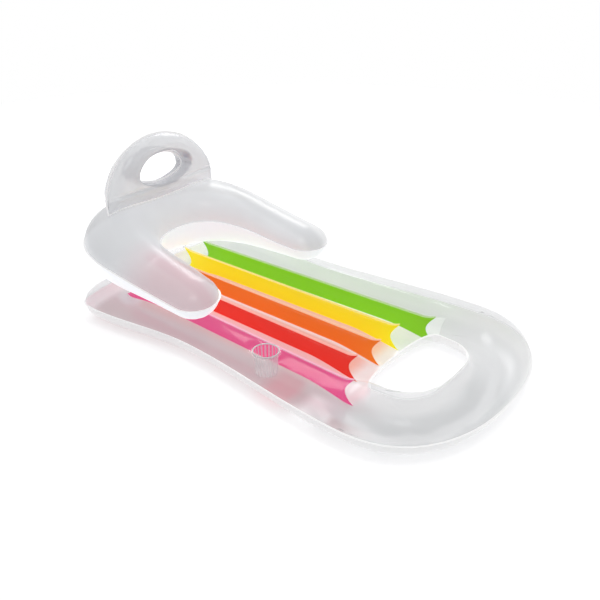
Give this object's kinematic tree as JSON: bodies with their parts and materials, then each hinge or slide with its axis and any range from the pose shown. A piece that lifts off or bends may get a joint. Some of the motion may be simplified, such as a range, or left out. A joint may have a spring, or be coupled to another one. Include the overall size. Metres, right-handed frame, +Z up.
{
  "type": "inflatable pool chair",
  "caption": "Inflatable pool chair with a channelled air mat, a foot opening, a U-shaped backrest with arms, an upright headrest and a cup holder.",
  "frame": {"origin": "on the floor, under the middle of the whole chair", "axes": "+Y from the foot end towards the headrest, +Z up, -X to the sitter's right, where the cup holder is"},
  "size_m": [0.846, 1.622, 0.5921],
  "materials": {
    "clear_vinyl": "clear, slightly frosted vinyl film",
    "web_green": "solid coloured vinyl film",
    "web_yellow": "solid coloured vinyl film",
    "web_orange": "solid coloured vinyl film",
    "web_red": "solid coloured vinyl film",
    "web_pink": "solid coloured vinyl film",
    "valve_vinyl": "bluish clear moulded vinyl"
  },
  "bodies": {
    "mat": {"mat_top_sheet": "clear_vinyl", "mat_bottom_sheet": "clear_vinyl", "web_green": "web_green", "web_yellow": "web_yellow", "web_orange": "web_orange", "web_red": "web_red", "web_pink": "web_pink", "cup_holder": "clear_vinyl", "cup_ring": "clear_vinyl", "mat_valve_stem": "valve_vinyl"},
    "backrest": {"backrest_top_sheet": "clear_vinyl", "backrest_bottom_sheet": "clear_vinyl", "backrest_valve_stem": "valve_vinyl"},
    "headrest": {"headrest_front_sheet": "clear_vinyl", "headrest_back_sheet": "clear_vinyl", "headrest_valve_stem": "valve_vinyl"},
    "mat_plug": {"mat_valve_plug": "valve_vinyl"},
    "mat_flap": {"mat_valve_flap": "valve_vinyl"},
    "backrest_plug": {"backrest_valve_plug": "valve_vinyl"},
    "backrest_flap": {"backrest_valve_flap": "valve_vinyl"},
    "headrest_plug": {"headrest_valve_plug": "valve_vinyl"},
    "headrest_flap": {"headrest_valve_flap": "valve_vinyl"}
  },
  "joints": [
    {"name": "backrest_tilt", "type": "hinge", "parent": "mat", "child": "backrest", "pos_m": [0, 0.645, 0.1269], "axis": [-1, 0, 0], "range_deg": [0, 10]},
    {"name": "headrest_tilt", "type": "hinge", "parent": "backrest", "child": "headrest", "pos_m": [0, 0.642, 0.34974], "axis": [1, 0, 0], "range_deg": [-5, 15], "stiffness_Nm_per_rad": 3},
    {"name": "mat_plug_pull", "type": "slide", "parent": "mat", "child": "mat_plug", "axis": [0.0249, 0.9292, -0.3687], "range_m": [0, 0.012]},
    {"name": "mat_flap_hinge", "type": "hinge", "parent": "mat", "child": "mat_flap", "pos_m": [0.15985, 0.67976, 0.05427], "axis": [-0.9996, 0.0268, 0], "range_deg": [0, 40]},
    {"name": "backrest_plug_pull", "type": "slide", "parent": "backrest", "child": "backrest_plug", "axis": [0.0497, 0.7823, 0.621], "range_m": [0, 0.012]},
    {"name": "backrest_flap_hinge", "type": "hinge", "parent": "backrest", "child": "backrest_flap", "pos_m": [0.13937, 0.7702, 0.32014], "axis": [-0.998, 0.0634, 0], "range_deg": [0, 40]},
    {"name": "headrest_plug_pull", "type": "slide", "parent": "headrest", "child": "headrest_plug", "axis": [0.2067, 0.9764, -0.0629], "range_m": [0, 0.012]},
    {"name": "headrest_flap_hinge", "type": "hinge", "parent": "headrest", "child": "headrest_flap", "pos_m": [0.18239, 0.68722, 0.46584], "axis": [-0.9783, 0.2071, 0], "range_deg": [0, 40]}
  ]
}
